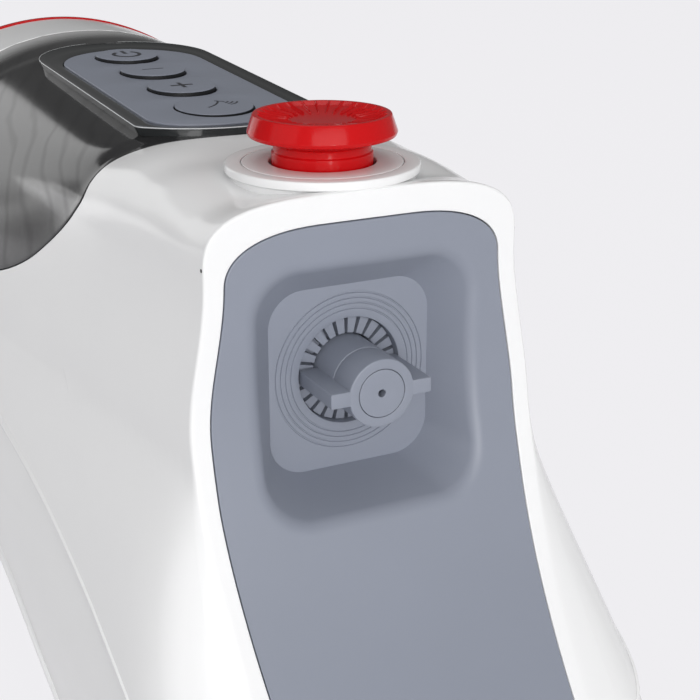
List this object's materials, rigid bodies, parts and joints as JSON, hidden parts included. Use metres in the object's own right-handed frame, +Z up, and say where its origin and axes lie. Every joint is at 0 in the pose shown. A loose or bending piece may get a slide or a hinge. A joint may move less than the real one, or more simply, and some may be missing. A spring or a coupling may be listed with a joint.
{
  "type": "wallpaper steamer",
  "caption": "Free-standing canister steam generator of a wallpaper steamer: front bayonet hose socket, red screw filler cap, smoked saddle cover, push-button panel and folding rear handle.",
  "frame": {"origin": "floor level under the middle of the overall box", "axes": "+Z up, the hose socket and front face look along -Y, +X to the right of someone facing +Y"},
  "size_m": [0.177, 0.365, 0.2021],
  "materials": {
    "white_gloss": "glossy white moulding",
    "grey_satin": "satin blue-grey moulding",
    "red_gloss": "glossy red moulding",
    "smoked_clear": "glossy smoked translucent moulding",
    "black_gloss": "glossy black moulding",
    "black_rubber": "matt moulded rubber",
    "tank_clear": "translucent moulding",
    "dark_plastic": "matt dark moulding",
    "pale_plastic": "matt pale moulding",
    "circuit_board": "lacquered board",
    "cast_alloy": "cast",
    "steel": "plated",
    "brass": "machined"
  },
  "bodies": {
    "housing": {"upper_shell": "white_gloss", "belly_tub": "white_gloss", "front_panel": "grey_satin", "socket_plate": "grey_satin", "louvre_ring": "grey_satin", "steam_spigot": "grey_satin", "jet_insert": "grey_satin", "cap_collar": "white_gloss", "collar_insert": "white_gloss", "filler_neck": "pale_plastic", "smoked_saddle": "smoked_clear", "control_bezel": "black_gloss", "button_pad": "grey_satin", "control_board": "circuit_board", "button_switches": "dark_plastic", "water_tank": "tank_clear", "tank_posts": "dark_plastic", "feed_tube": "tank_clear", "pump": "cast_alloy", "pump_cradle": "dark_plastic", "delivery_tube": "tank_clear", "boiler_upper": "cast_alloy", "boiler_lower": "cast_alloy", "boiler_gasket": "black_rubber", "boiler_bolts": "steel", "boiler_stand": "steel", "heater": "steel", "thermostat": "dark_plastic", "thermal_fuse": "pale_plastic", "relief_valve": "brass", "steam_valve": "brass", "valve_coil": "dark_plastic", "steam_elbow": "brass", "rear_panel": "white_gloss", "red_ring": "red_gloss", "rear_dome": "white_gloss", "handle_pins": "steel", "cord_gland": "black_rubber", "rear_screws": "steel", "rubber_feet": "black_rubber"},
    "cap": {"filler_cap": "red_gloss", "cap_plug": "dark_plastic"},
    "cap_seal": {"cap_gasket": "black_rubber"},
    "power_key": {"power_button": "grey_satin"},
    "minus_key": {"minus_button": "grey_satin"},
    "plus_key": {"plus_button": "grey_satin"},
    "steam_key": {"steam_button": "grey_satin"},
    "handle": {"carry_handle": "grey_satin"}
  },
  "joints": [
    {"name": "cap_rise", "type": "slide", "parent": "housing", "child": "cap_seal", "axis": [0, 0, 1], "range_m": [0, 0.012]},
    {"name": "cap_turn", "type": "hinge", "parent": "cap_seal", "child": "cap", "pos_m": [0, -0.091, 0.19], "axis": [0, 0, 1], "range_deg": [0, 720]},
    {"name": "power_press", "type": "slide", "parent": "housing", "child": "power_key", "axis": [0, 0.0431, -0.9991], "range_m": [0, 0.0012], "stiffness_N_per_m": 400},
    {"name": "minus_press", "type": "slide", "parent": "housing", "child": "minus_key", "axis": [0, 0.0431, -0.9991], "range_m": [0, 0.0012], "stiffness_N_per_m": 400},
    {"name": "plus_press", "type": "slide", "parent": "housing", "child": "plus_key", "axis": [0, 0.0431, -0.9991], "range_m": [0, 0.0012], "stiffness_N_per_m": 400},
    {"name": "steam_press", "type": "slide", "parent": "housing", "child": "steam_key", "axis": [0, 0.0431, -0.9991], "range_m": [0, 0.0012], "stiffness_N_per_m": 400},
    {"name": "handle_swing", "type": "hinge", "parent": "housing", "child": "handle", "pos_m": [0, 0.1751, 0.128], "axis": [1, 0, 0], "range_deg": [0, 110]}
  ],
  "couplings": [
    {"joint": "cap_turn", "follows": "cap_rise", "rad_per_m": 1047.2}
  ]
}
